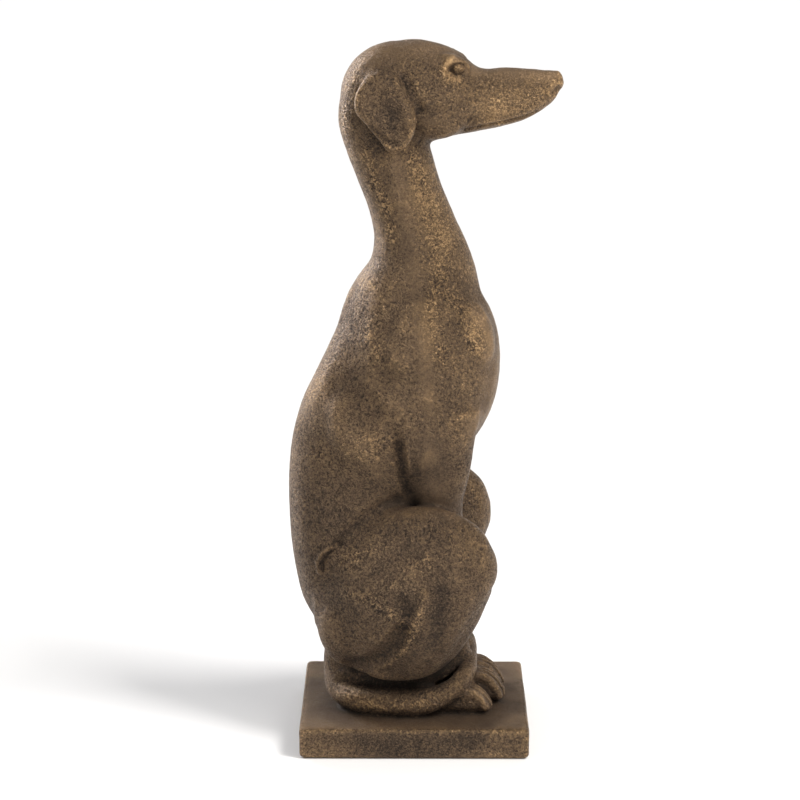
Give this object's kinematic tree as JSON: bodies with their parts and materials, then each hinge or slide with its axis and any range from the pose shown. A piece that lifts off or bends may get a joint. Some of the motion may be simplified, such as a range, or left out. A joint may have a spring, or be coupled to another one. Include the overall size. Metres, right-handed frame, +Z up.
{
  "type": "greyhound statue",
  "caption": "Slender greyhound sitting upright with long neck, folded ears and a tail wrapped round its forepaws, cast together with a thin rectangular plinth.",
  "frame": {"origin": "middle of the plinth's flat underside", "axes": "+Z up, +X the way the dog faces, +Y to the dog's left"},
  "size_m": [0.2978, 0.2035, 0.7876],
  "materials": {
    "bronze_patina": "dark brown antique bronze patina, finely pitted, worn to warm gold on the high points"
  },
  "bodies": {
    "root": {"greyhound_statue": "bronze_patina"}
  },
  "joints": []
}
